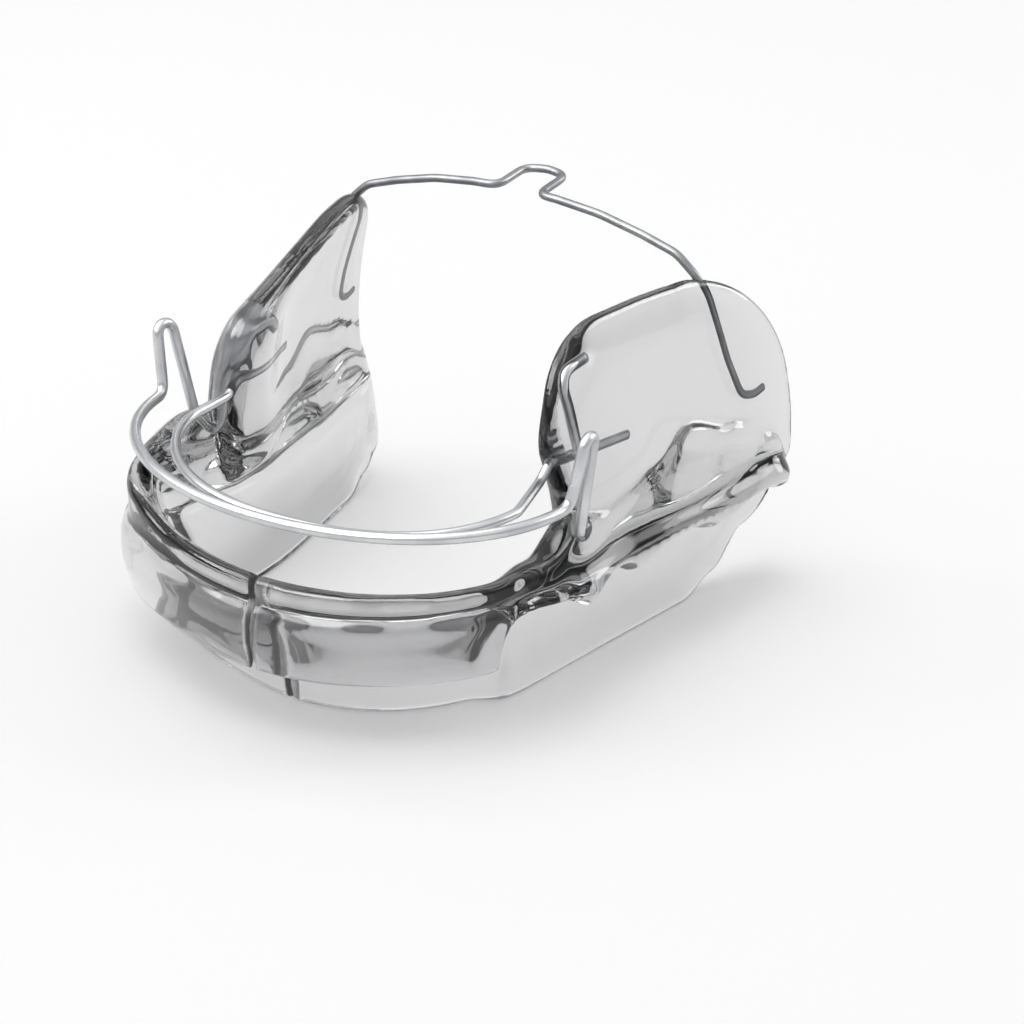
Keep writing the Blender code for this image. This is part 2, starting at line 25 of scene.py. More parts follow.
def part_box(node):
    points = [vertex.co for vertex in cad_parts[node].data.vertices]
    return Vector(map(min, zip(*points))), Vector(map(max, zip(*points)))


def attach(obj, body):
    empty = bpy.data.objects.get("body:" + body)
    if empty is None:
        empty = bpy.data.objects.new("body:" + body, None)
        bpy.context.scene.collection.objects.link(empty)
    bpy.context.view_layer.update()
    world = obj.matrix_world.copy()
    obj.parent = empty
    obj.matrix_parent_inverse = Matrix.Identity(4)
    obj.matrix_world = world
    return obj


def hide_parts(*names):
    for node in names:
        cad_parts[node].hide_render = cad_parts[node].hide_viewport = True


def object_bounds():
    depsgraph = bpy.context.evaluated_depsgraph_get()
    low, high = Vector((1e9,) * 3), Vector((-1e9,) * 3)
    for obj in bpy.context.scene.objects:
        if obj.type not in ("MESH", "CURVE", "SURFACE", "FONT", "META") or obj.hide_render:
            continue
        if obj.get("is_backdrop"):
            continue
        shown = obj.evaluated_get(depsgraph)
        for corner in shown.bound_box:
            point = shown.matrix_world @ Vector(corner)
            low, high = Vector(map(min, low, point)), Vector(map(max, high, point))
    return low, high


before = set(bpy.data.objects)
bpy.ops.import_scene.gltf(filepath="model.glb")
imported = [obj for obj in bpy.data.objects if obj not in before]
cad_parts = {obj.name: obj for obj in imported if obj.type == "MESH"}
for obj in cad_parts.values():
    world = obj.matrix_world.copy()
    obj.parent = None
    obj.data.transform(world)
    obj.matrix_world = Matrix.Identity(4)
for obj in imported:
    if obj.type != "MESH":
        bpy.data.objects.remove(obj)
CAD_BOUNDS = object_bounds()

LOG = logging.getLogger("bite_appliance")
MM = 0.001
SAME_PLACE = 1e-7

Pair = tuple[float, float]
Triple = tuple[float, float, float]
Stops = tuple[tuple[float, str], ...]
Source = Node | NodeSocket


class Side(Enum):
    """Which side of the wearer's mouth a half belongs to."""

    LEFT = 1
    RIGHT = -1


def ease(value: float) -> float:
    """A share clamped to 0 and 1, and eased to have flat ends."""
    value = min(max(value, 0.0), 1.0)
    return value * value * (3.0 - 2.0 * value)


def bell(distance: float, width: float) -> float:
    """A bell curve: 1 at no distance, and 1/e at its width."""
    return math.exp(-(distance / width) ** 2)


def height_on(line: Sequence[Pair], distance: float) -> float:
    """Height of a trimmed edge.

    Args:
        line: (distance, height) points in order.
        distance: Where along the arch to read it.

    Returns:
        The height, eased between the points.
    """
    for (start, low), (end, high) in zip(line, line[1:]):
        if distance <= end:
            return low + (high - low) * ease((distance - start) / (end - start))
    return line[-1][1]


def doubled(loop: Sequence[Vector]) -> list[Vector]:
    """Add a smooth point between each pair of points of a closed loop.

    Args:
        loop: The loop's points.

    Returns:
        A loop of twice as many points.
    """
    result = []
    for index, point in enumerate(loop):
        before, after, beyond = (loop[(index + step) % len(loop)] for step in (-1, 1, 2))
        result += [point, (9.0 * (point + after) - before - beyond) / 16.0]
    return result


def corner_arc(corner: Vector, before: Vector, after: Vector, radius: float, steps: int) -> list[Vector]:
    """Points of the round corner between two directions.

    Args:
        corner: The sharp corner's place.
        before: Unit direction from the corner back along the outline.
        after: Unit direction from the corner on along the outline.
        radius: Radius of the rounding.
        steps: Number of spans on the arc.

    Returns:
        The arc's points, in order.
    """
    half = before.angle(after) / 2.0
    centre = corner + (before + after).normalized() * radius / math.sin(half)
    start = corner + before * radius / math.tan(half) - centre
    end = corner + after * radius / math.tan(half) - centre
    sweep = start.angle(end)
    points = []
    for step in range(steps + 1):
        angle = sweep * step / steps
        points.append(centre + (start * math.sin(sweep - angle) + end * math.sin(angle)) / math.sin(sweep))
    return points


def loft(mesh: BMesh, rings: Sequence[Sequence[Vector]]) -> list[list[BMVert]]:
    """Skin closed rings of equal length by extruding one ring to the next, and cap both ends.

    Args:
        mesh: The mesh to add to.
        rings: The rings, in order along the form.

    Returns:
        The vertices of each ring.
    """
    ring = [mesh.verts.new(point) for point in rings[0]]
    made = [ring]
    edges = [mesh.edges.new((ring[index - 1], ring[index])) for index in range(len(ring))]
    bmesh.ops.contextual_create(mesh, geom=edges)
    for following in rings[1:]:
        grown = bmesh.ops.extrude_edge_only(mesh, edges=edges)["geom"]
        edges = [item for item in grown if isinstance(item, BMEdge)]
        fresh = {item for item in grown if isinstance(item, BMVert)}
        ring = [next(edge.other_vert(vert) for edge in vert.link_edges if edge.other_vert(vert) in fresh)
                for vert in ring]
        for vert, point in zip(ring, following):
            vert.co = point
        made.append(ring)
    bmesh.ops.contextual_create(mesh, geom=edges)
    bmesh.ops.recalc_face_normals(mesh, faces=mesh.faces)
    return made


def trim(mesh: BMesh, point: Triple, outward: Triple) -> None:
    """Grind a closed mesh flat: remove what lies beyond a plane and close the cut.

    Args:
        mesh: The mesh to cut.
        point: A point of the plane.
        outward: The plane's normal, towards what goes.
    """
    bmesh.ops.bisect_plane(
        mesh, geom=mesh.verts[:] + mesh.edges[:] + mesh.faces[:], dist=SAME_PLACE,
        plane_co=point, plane_no=outward, clear_outer=True,
    )
    rim = [edge for edge in mesh.edges if edge.is_boundary]
    bmesh.ops.holes_fill(mesh, edges=rim, sides=0)
    bmesh.ops.recalc_face_normals(mesh, faces=mesh.faces)


def mesh_object(name: str, mesh: BMesh) -> Object:
    """Make an object of a bmesh, and free the bmesh.

    Args:
        name: The object's name.
        mesh: The mesh, in place.

    Returns:
        The new object, at the origin.
    """
    data = bpy.data.meshes.new(name)
    mesh.to_mesh(data)
    mesh.free()
    piece = bpy.data.objects.new(name, data)
    bpy.context.collection.objects.link(piece)
    return piece


def settle(piece: Object) -> None:
    """Apply all of a piece's modifiers.

    Args:
        piece: The object, whose mesh is replaced by what it evaluates to.
    """
    bpy.context.view_layer.update()
    depsgraph = bpy.context.evaluated_depsgraph_get()
    data = bpy.data.meshes.new_from_object(piece.evaluated_get(depsgraph), depsgraph=depsgraph)
    piece.modifiers.clear()
    old = piece.data
    piece.data = data
    bpy.data.meshes.remove(old)


def combine(piece: Object, tool: Object, operation: str) -> None:
    """Join another piece on, or cut it out, and delete that piece.

    Args:
        piece: The piece that stays.
        tool: The piece that is used up.
        operation: UNION or DIFFERENCE.
    """
    modifier = piece.modifiers.new("combine", "BOOLEAN")
    modifier.operation = operation
    modifier.solver = "MANIFOLD"
    modifier.object = tool
    settle(piece)
    bpy.data.objects.remove(tool, do_unlink=True)


def linear(colour: str) -> tuple[float, float, float, float]:
    """Turn an sRGB hex value into a linear colour.

    Args:
        colour: Six hex digits.

    Returns:
        Red, green, blue and an alpha of 1.
    """
    parts = [int(colour[index:index + 2], 16) / 255.0 for index in (0, 2, 4)]
    red, green, blue = (c / 12.92 if c <= 0.04045 else ((c + 0.055) / 1.055) ** 2.4 for c in parts)
    return red, green, blue, 1.0


class Nodes:
    """A shader node tree, filled node by node."""

    def __init__(self, tree: NodeTree) -> None:
        """Empty the tree."""
        self.tree = tree
        tree.nodes.clear()

    def add(self, kind: str, inputs: dict | None = None, **settings) -> Node:
        """Add a node with its settings and inputs.

        Args:
            kind: The node's type name, without its first word, ShaderNode.
            inputs: Input name or index to a plain value, an output, or a node for its first output.
            **settings: Attributes of the node itself.

        Returns:
            The node.
        """
        node = self.tree.nodes.new("ShaderNode" + kind)
        for name, setting in settings.items():
            setattr(node, name, setting)
        for name, source in (inputs or {}).items():
            if isinstance(source, Node):
                source = source.outputs[0]
            if isinstance(source, NodeSocket):
                self.tree.links.new(source, node.inputs[name])
            else:
                node.inputs[name].default_value = source
        return node

    def mottle(self, place: Source, length: float, detail: float, roughness: float) -> Node:
        """Add noise whose largest patches have a real size.

        Args:
            place: The coordinates.
            length: Size of the largest patches.
            detail: Number of finer layers.
            roughness: Strength of each finer layer next to the one before.

        Returns:
            The noise's node.
        """
        return self.add("TexNoise", {
            "Vector": place, "Scale": 1.0 / length, "Detail": detail, "Roughness": roughness,
        })

    def remap(self, value: Source, source: Pair, target: Pair) -> Node:
        """Carry a value over from one range to another.

        Args:
            value: The value.
            source: Both ends of its own range.
            target: What these ends become.

        Returns:
            The node that gives the new value.
        """
        low, high = source
        return self.add("MapRange", {
            "Value": value, "From Min": low, "From Max": high, "To Min": target[0], "To Max": target[1],
        })


def fresh_material(name: str) -> tuple[Material, Nodes]:
    """Make an empty node material.

    Args:
        name: The material's name.

    Returns:
        The material and its nodes.
    """
    material = bpy.data.materials.new(name)
    material.use_nodes = True
    return material, Nodes(material.node_tree)


@dataclass(frozen=True)
class PolishedAcrylic:
    """Heat-cured clear acrylic (PMMA), trimmed with a bur and polished on a wheel by hand.

    It reads as clear glass with a faint smoke tint, soft polishing waves in its
    highlights, and dark edges where it bends the light. The faces of the saw cut at the
    midline stay matt.
    """

    tint: str = "E9E9EA"
    depth_tint: float = 0.20
    depth_density: float = 66.0
    roughness: float = 0.030
    sawn_roughness: float = 0.55
    sawn_reach: float = 0.30 * MM
    sawn_blend: float = 1.2
    index: float = 1.49
    wave_length: float = 2.6 * MM
    wave_depth: float = 0.006 * MM
    scratch_length: float = 0.35 * MM
    scratch_depth: float = 0.0003 * MM

    def material(self) -> Material:
        """Build the node material.

        Returns:
            The acrylic's material.
        """
        material, nodes = fresh_material("polished_clear_acrylic")
        place = nodes.add("TexCoord").outputs["Object"]
        waves = nodes.mottle(place, self.wave_length, detail=1.5, roughness=0.4)
        scratches = nodes.mottle(place, self.scratch_length, detail=3.0, roughness=0.6)
        swell = nodes.add("Bump", {"Height": waves, "Distance": self.wave_depth})
        grain = nodes.add("Bump", {"Height": scratches, "Normal": swell, "Distance": self.scratch_depth})
        across = nodes.add("SeparateXYZ", {"Vector": place}).outputs["X"]
        offset = nodes.add("Math", {0: across}, operation="ABSOLUTE")
        sawn = (self.sawn_reach, self.sawn_reach * self.sawn_blend)
        finish = nodes.remap(offset, sawn, (self.sawn_roughness, self.roughness))
        shader = nodes.add("BsdfPrincipled", {
            "Base Color": linear(self.tint), "Roughness": finish, "Normal": grain,
            "IOR": self.index, "Transmission Weight": 1.0,
        })
        grey = self.depth_tint
        smoke = nodes.add("VolumeAbsorption", {"Color": (grey,) * 3 + (1.0,), "Density": self.depth_density})
        nodes.add("OutputMaterial", {"Surface": shader, "Volume": smoke})
        return material


@dataclass(frozen=True)
class DrawnSteel:
    """Stainless spring wire, drawn through a die and left bright.

    Drawing leaves hair lines along the wire, which stretch each highlight, and handling
    in pliers leaves it a little duller in patches.
    """

    name: str
    colour: str = "D3D4D6"
    dull_colour: str = "C0C1C4"
    roughness: float = 0.26
    dull_roughness: float = 0.36
    line_width: float = 0.06 * MM
    line_depth: float = 0.0030 * MM
    patch_length: float = 3.0 * MM
    patch_edge: Pair = (0.35, 0.65)

    def material(self) -> Material:
        """Build the node material.

        Returns:
            The wire's material.
        """
        material, nodes = fresh_material(self.name)
        run = nodes.add("Attribute", attribute_name="run").outputs["Vector"]
        place = nodes.add("TexCoord").outputs["Object"]
        lines = nodes.mottle(run, self.line_width, detail=2.0, roughness=0.6)
        patches = nodes.mottle(place, self.patch_length, detail=2.0, roughness=0.5)
        spread = nodes.remap(patches, self.patch_edge, (0.0, 1.0))
        rough = nodes.remap(patches, self.patch_edge, (self.roughness, self.dull_roughness))
        tone = nodes.add(
            "Mix", {0: spread, 6: linear(self.colour), 7: linear(self.dull_colour)}, data_type="RGBA",
        )
        bump = nodes.add("Bump", {"Height": lines, "Distance": self.line_depth})
        shader = nodes.add("BsdfPrincipled", {
            "Base Color": tone.outputs[2], "Roughness": rough, "Normal": bump, "Metallic": 1.0,
        })
        nodes.add("OutputMaterial", {"Surface": shader})
        return material


@dataclass(frozen=True)
class Arch:
    """Guide line along the biting edges of the lower teeth of one side."""

    half_width: float = 0.0163
    depth: float = 0.0153
    spread: float = math.radians(10.0)
    bulge: float = 0.0
    bulge_at: float = -0.0070
    bulge_span: float = 0.0070
    steps: int = 400

    def run(self) -> Vector:
        """Direction of the straight stretch, from canine to back tooth."""
        return Vector((math.sin(self.spread), math.cos(self.spread)))

    def curve(self, share: float) -> tuple[Vector, Vector]:
        """Point of the front curve.

        Args:
            share: 0 at the midline, 1 at the canine.

        Returns:
            The point and the outward direction there.
        """
        handle = 0.5523
        start = Vector((0.0, -self.depth))
        end = Vector((self.half_width, 0.0))
        ahead = Vector((handle * self.half_width, 0.0))
        poles = (start, start + ahead, end - self.run() * handle * self.depth, end)
        rest = 1.0 - share
        point = Vector((0.0, 0.0))
        slope = Vector((0.0, 0.0))
        for index, pole in enumerate(poles):
            point += pole * math.comb(3, index) * rest ** (3 - index) * share ** index
        for index, (pole, following) in enumerate(zip(poles, poles[1:])):
            slope += (following - pole) * math.comb(2, index) * rest ** (2 - index) * share ** index
        slope.normalize()
        return point, Vector((slope.y, -slope.x))

    @cached_property
    def table(self) -> list[tuple[float, Vector, Vector]]:
        """(distance from the canine, point, outward) along the front curve, from the canine on."""
        rows = [(0.0, *self.curve(1.0))]
        for step in range(1, self.steps + 1):
            point, outward = self.curve(1.0 - step / self.steps)
            distance, before, _ = rows[-1]
            rows.append((distance - (point - before).length, point, outward))
        return rows

    def length(self) -> float:
        """Length of the front curve from the canine to the midline."""
        return -self.table[-1][0]

    def at(self, distance: float) -> tuple[Vector, Vector]:
        """Place on the guide line.

        Args:
            distance: Distance from the canine line, negative towards the midline.

        Returns:
            The point, the canine's bulge included, and the outward direction.
        """
        if distance >= 0.0:
            _, point, outward = self.table[0]
            point = point + self.run() * distance
        else:
            start, point, outward = min(self.table, key=lambda row: abs(row[0] - distance))
            point = point + Vector((-outward.y, outward.x)) * (distance - start)
        return point + outward * self.bulge * bell(distance - self.bulge_at, self.bulge_span), outward


def edge_distance(point: Vector, outline: Sequence[Vector]) -> float:
    """Distance from a point to a closed outline.

    Args:
        point: The (y, z) point.
        outline: The outline's points.

    Returns:
        The distance to the nearest stretch.
    """
    nearest = math.inf
    for index, end in enumerate(outline):
        start = outline[index - 1]
        run = end - start
        share = min(max((point - start).dot(run) / run.length_squared, 0.0), 1.0)
        nearest = min(nearest, (point - start - run * share).length)
    return nearest


@dataclass(frozen=True)
class Wing:
    """The thin upright plate of a half, beside the tongue.

    A corner is its distance behind the canine line, its height and its radius.
    """

    corners: tuple[Triple, ...]
    column: float
    edge: float
    thickness: float = 0.0024
    thin_start: float = 0.0190
    thin_span: float = 0.0050
    rear_start: float = 0.0185
    taper: float = 0.0026
    back_taper: float = 0.0026
    back_start: float = 0.0030
    back_span: float = 0.0060
    offset: float = -0.0004
    lean: float = 0.0030
    lean_start: float = 0.0150
    lean_span: float = 0.0140
    lean_power: float = 1.5
    column_at: float = 0.0033
    column_width: float = 0.0040
    cell: float = 0.00045
    arc_step: float = 0.0005
    edge_round: float = 0.94
    edge_segments: int = 6
    arch: Arch = Arch()

    def middle(self, y: float, z: float) -> float:
        """X of the left wing's middle surface, at a distance behind the canine line and a height."""
        lean = self.lean * max(0.0, (z - self.lean_start) / self.lean_span) ** self.lean_power
        return self.arch.half_width + y * math.tan(self.arch.spread) + self.offset - lean

    def inside(self, y: float, z: float, offset: float = 0.0) -> Vector:
        """A point inside the left wing, an offset outward from its middle surface."""
        return Vector((self.middle(y, z) + offset, y, z))

    def outline(self) -> list[Vector]:
        """Round the plate's corners.

        Returns:
            The outline as (y, z) points.
        """
        points = [(Vector((y, z)), radius) for y, z, radius in self.corners]
        result = []
        for index, (corner, radius) in enumerate(points):
            before = (points[index - 1][0] - corner).normalized()
            after = (points[(index + 1) % len(points)][0] - corner).normalized()
            turn = math.pi - before.angle(after)
            result += corner_arc(corner, before, after, radius, max(3, round(radius * turn / self.arc_step)))
        return result

    def thickness_at(self, y: float, z: float, inset: float) -> float:
        """The plate's thickness: full over the tags, thin at the upper and rear rim.

        Args:
            y: Distance behind the canine line.
            z: Height over the rest level.
            inset: Distance from the outline.

        Returns:
            The thickness there.
        """
        full = self.thickness * (1.0 + self.column * bell(y - self.column_at, self.column_width))
        upper = ease((z - self.thin_start) / self.thin_span)
        rear = ease((y - self.rear_start) / self.thin_span)
        rim = full + (self.edge - full) * max(upper, rear)
        back = ease((y - self.back_start) / self.back_span)
        taper = self.taper + (self.back_taper - self.taper) * back
        return rim + (full - rim) * ease(inset / taper)

    def set_out(self, y: float, thickness: float) -> float:
        """How far the plate's middle moves outward at the rear, where only its inner face is thinned."""
        return (self.thickness - thickness) / 2.0 * ease((y - self.rear_start) / self.thin_span)

    def build(self) -> BMesh:
        """Extrude the outline, round its edges, give it its thickness and bend it to the arch.

        Returns:
            The left wing's mesh.
        """
        mesh = bmesh.new()
        flat = self.edge / 2.0
        outline = self.outline()
        corners = [mesh.verts.new((-flat, y, z)) for y, z in outline]
        face = bmesh.ops.contextual_create(mesh, geom=corners)["faces"]
        grown = bmesh.ops.extrude_face_region(mesh, geom=face)["geom"]
        moved = [item for item in grown if isinstance(item, BMVert)]
        bmesh.ops.translate(mesh, vec=(self.edge, 0.0, 0.0), verts=moved)
        bmesh.ops.recalc_face_normals(mesh, faces=mesh.faces)
        rims = [edge for edge in mesh.edges if abs(edge.verts[0].co.x - edge.verts[1].co.x) < SAME_PLACE]
        bmesh.ops.bevel(
            mesh, geom=rims, offset=flat * self.edge_round, affect="EDGES",
            segments=self.edge_segments, profile=0.5, material=-1,
        )
        for axis, normal in ((0, Vector((0.0, 1.0, 0.0))), (1, Vector((0.0, 0.0, 1.0)))):
            low = min(point[axis] for point in outline)
            high = max(point[axis] for point in outline)
            count = math.ceil((high - low) / self.cell)
            for step in range(1, count):
                bmesh.ops.bisect_plane(
                    mesh, geom=mesh.verts[:] + mesh.edges[:] + mesh.faces[:], dist=SAME_PLACE,
                    plane_co=normal * (low + (high - low) * step / count), plane_no=normal,
                )
        bmesh.ops.triangulate(mesh, faces=mesh.faces)
        for vertex in mesh.verts:
            x, y, z = vertex.co
            thickness = self.thickness_at(y, z, edge_distance(vertex.co.yz, outline))
            vertex.co.x = self.middle(y, z) + self.set_out(y, thickness) + x * thickness / self.edge
        return mesh


@dataclass(frozen=True)
class Teeth:
    """The lower teeth of one side, whose crowns leave their print in the acrylic.

    Sizes run from the midline back: width along the arch, reach across it, and how far
    outward the crown stands.
    """

    bite: float = 0.0100
    crown: float = 0.0094
    overlap: float = 0.0003
    clearance: float = 0.0001
    squareness: float = 0.7
    sizes: tuple[Triple, ...] = (
        (0.0053, 0.0012, 0.0003), (0.0058, 0.0012, 0.0003), (0.0068, 0.0015, 0.0002),
        (0.0070, 0.0070, 0.0034), (0.0072, 0.0078, 0.0038), (0.0110, 0.0100, 0.0050),
        (0.0100, 0.0100, 0.0050),
    )

    def crowns(self, arch: Arch) -> Iterable[BMesh]:
        """Make one rounded block for each crown, side by side and bent along the arch.

        Args:
            arch: The guide line on which they stand.

        Returns:
            The blocks' meshes, one after the other.
        """
        distance = -arch.length()
        for width, reach, offset in self.sizes:
            middle = distance + width / 2.0
            distance += width
            mesh = bmesh.new()
            bmesh.ops.create_uvsphere(mesh, u_segments=40, v_segments=24, radius=1.0)
            for vertex in mesh.verts:
                boxy = Vector(math.copysign(abs(part) ** self.squareness, part) for part in vertex.co)
                point, outward = arch.at(middle - boxy.x * (width / 2.0 + self.overlap))
                point += outward * (offset + boxy.y * reach / 2.0)
                height = self.bite + self.clearance - self.crown / 2.0 * (1.0 - boxy.z)
                vertex.co = Vector((point.x, point.y, height))
            yield mesh


@dataclass
class AcrylicHalf:
    """One half of the acrylic: cap, flange and bite body, with its wing."""

    side: Side
    length: float
    arch: Arch
    hook_height: float
    bar_tag: tuple[Pair, ...]
    inner_fullness: float
    top_line: tuple[Pair, ...]
    wing: Wing
    teeth: Teeth = Teeth()

    rim_wall: float = 0.0014
    rim_reach: float = 0.0009
    ridge_height: float = 0.0107
    ridge_reach: float = 0.0023
    border_height: float = 0.0053
    labial_wall: float = 0.0011
    cap_flange_reach: float = 0.0045
    cap_end: float = -0.0072
    cap_blend: float = 0.0036
    flange_wall: float = 0.0019
    flange_reach: float = 0.0031
    body_reach: float = 0.0018
    end_radius: float = 0.0035
    lip_height: float = 0.0083
    lip_reach: float = 0.0009
    lug_reach: float = 0.0012
    lug_length: float = 0.0042
    rest_trim: float = 0.00025
    saw_cut: float = 0.00035
    bottom_line: tuple[Pair, ...] = (
        (-0.0260, 0.0), (0.0180, 0.0), (0.0215, 0.0014), (0.0255, 0.0044), (0.0300, 0.0080),
    )
    station: float = 0.00035
    voxel: float = 0.00020
    smoothing: int = 14
    end_turns: int = 8
    end_step: float = 9.2
    polish_wave: float = 5.0 * MM
    polish_depth: float = 0.018 * MM
    ground_height: float = 0.4 * MM

    def node(self) -> str:
        """Name of the CAD node that this half stands for."""
        return f"acrylic_{self.side.name.lower()}"

    def section(self, distance: float) -> list[Vector]:
        """Cross-section, which turns from the cap's at the front into the bite body's.

        It runs up the outer side, over the top, down the tongue side, round the flange's
        foot and back up through the hollow for the teeth.

        Args:
            distance: Where along the arch, from the canine line.

        Returns:
            The closed outline as (outward, up) points.
        """
        top = height_on(self.top_line, distance)
        lift = height_on(self.bottom_line, distance)
        low = lift - self.rest_trim
        bite = self.teeth.bite
        share = ease((distance - self.cap_end) / self.cap_blend)
        inside = -(self.cap_flange_reach + (self.flange_reach - self.cap_flange_reach) * share)
        outside = inside + self.flange_wall
        foot = ((inside, low + 0.0007), (inside + self.flange_wall * 0.45, low), (outside, low + 0.0008))
        outer = self.rim_reach + self.rim_wall / 2.0
        inner = self.rim_reach - self.rim_wall / 2.0
        ridge, crest, border = self.ridge_reach, self.ridge_height, self.border_height
        cheek = ridge - self.labial_wall
        cap = (
            (ridge - 0.0004, border), (ridge + 0.0001, border + 0.0022),
            (ridge, crest - 0.0009), (ridge - 0.0007, crest + 0.0001),
            (outer, top - 0.0012), (outer, top - 0.0004), (self.rim_reach, top), (inner, top - 0.0005),
            (inner - 0.0011, top - 0.0025), (-0.0032, bite - 0.0045), (inside + 0.0001, 0.0030),
            *foot,
            (outside + 0.0004, 0.0028), (-0.0016, bite - 0.0046),
            (-0.0010, bite - 0.0014), (0.0001, bite - 0.0001), (cheek - 0.0002, bite - 0.0014),
            (cheek, border + 0.0010), (cheek + 0.0002, border), (cheek + 0.0005, border - 0.0004),
        )
        reach = self.body_reach + self.lug_reach * bell(distance, self.lug_length)
        edge = reach + self.lip_reach
        lip = self.lip_height
        body = (
            (edge - 0.0005, lip + 0.0004), (edge, lip + 0.0016),
            (edge - 0.0003, lip + 0.0026), (reach - 0.0002, min(lip + 0.0038, top - 0.0016)),
            (reach - 0.0005, top - 0.0008), (reach - 0.0010, top), (reach * 0.1, top + 0.0001),
            (-0.0009, top - 0.0006), (-0.0017, top - 0.0032), (-0.0026, bite - 0.0020 + lift * 0.2),
            (inside + 0.0001, 0.0036 + lift * 0.6),
            *foot,
            (outside + 0.0001, 0.0036 + lift * 0.6), (-0.0010, bite - 0.0040 + lift * 0.2),
            (-0.0008, lip - 0.0008), (-0.0002, lip + 0.0003), (0.0004, lip + 0.0004),
            (0.0009, lip + 0.0002), (reach - 0.0008, lip), (reach - 0.0006, lip - 0.0001),
        )
        return [Vector(a) * (1.0 - share) + Vector(b) * share for a, b in zip(cap, body)]

    def tray(self) -> BMesh:
        """Loft the cap, flange and bite body along the arch, and grind its two flats.

        Returns:
            The left-hand mesh of the tray.
        """
        start = -self.arch.length()
        last = self.length - self.end_radius
        count = math.ceil((last - start) / self.station)
        stations = [(start + (last - start) * step / count, 1.0) for step in range(count + 1)]
        for turn in range(1, self.end_turns + 1):
            angle = math.radians(self.end_step * turn)
            stations.append((last + self.end_radius * math.sin(angle), math.cos(angle)))
        rings = []
        for distance, scale in stations:
            point, outward = self.arch.at(distance)
            section = doubled(doubled(self.section(min(distance, last))))
            centre = sum(section, Vector((0.0, 0.0))) / len(section)
            ring = []
            for corner in section:
                u, z = centre + (corner - centre) * scale
                ring.append(Vector((point.x + outward.x * u, point.y + outward.y * u, z)))
            rings.append(ring)
        mesh = bmesh.new()
        loft(mesh, rings)
        trim(mesh, (0.0, 0.0, 0.0), (0.0, 0.0, -1.0))
        trim(mesh, (self.saw_cut / 2.0, 0.0, 0.0), (-1.0, 0.0, 0.0))
        bmesh.ops.triangulate(mesh, faces=mesh.faces)
        return mesh

    def placed(self, mesh: BMesh, shift: Vector) -> BMesh:
        """Turn a left-hand mesh to this half's side, and move it into the CAD frame.

        Args:
            mesh: The mesh in the bench frame, left-hand.
            shift: From the bench to the CAD frame.

        Returns:
            The same mesh, in place.
        """
        if self.side is Side.RIGHT:
            bmesh.ops.scale(mesh, vec=(-1.0, 1.0, 1.0), verts=mesh.verts)
            bmesh.ops.reverse_faces(mesh, faces=mesh.faces)
        bmesh.ops.translate(mesh, vec=shift, verts=mesh.verts)
        return mesh

    def build(self, shift: Vector, material: Material) -> Object:
        """Join, print and polish the half, and let it stand for its CAD node.

        Args:
            shift: From the bench to the CAD frame.
            material: The acrylic's material.

        Returns:
            The finished piece.
        """
        piece = mesh_object(f"{self.node()}_polished", self.placed(self.tray(), shift))
        combine(piece, mesh_object("wing", self.placed(self.wing.build(), shift)), "UNION")
        for crown in self.teeth.crowns(self.arch):
            combine(piece, mesh_object("crown", self.placed(crown, shift)), "DIFFERENCE")
        skin = piece.modifiers.new("one_skin", "REMESH")
        skin.mode = "VOXEL"
        skin.voxel_size = self.voxel
        polish = piece.modifiers.new("polish", "SMOOTH")
        polish.factor = 0.5
        polish.iterations = self.smoothing
        settle(piece)
        self.hand_polish(piece)
        piece.data.shade_smooth()
        piece.data.materials.clear()
        piece.data.materials.append(material)
        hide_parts(self.node())
        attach(piece, "root")
        return piece

    def hand_polish(self, piece: Object) -> None:
        """Give the skin the slow waves that a polishing wheel leaves, each about a hundredth of a mm deep.

        Args:
            piece: The half, with one closed skin.
        """
        mesh = bmesh.new()
        mesh.from_mesh(piece.data)
        mesh.normal_update()
        for vertex in mesh.verts:
            if vertex.co.z > self.ground_height:
                wave = noise.noise(vertex.co / self.polish_wave)
                vertex.co += vertex.normal * self.polish_depth * wave
        mesh.to_mesh(piece.data)
        mesh.free()


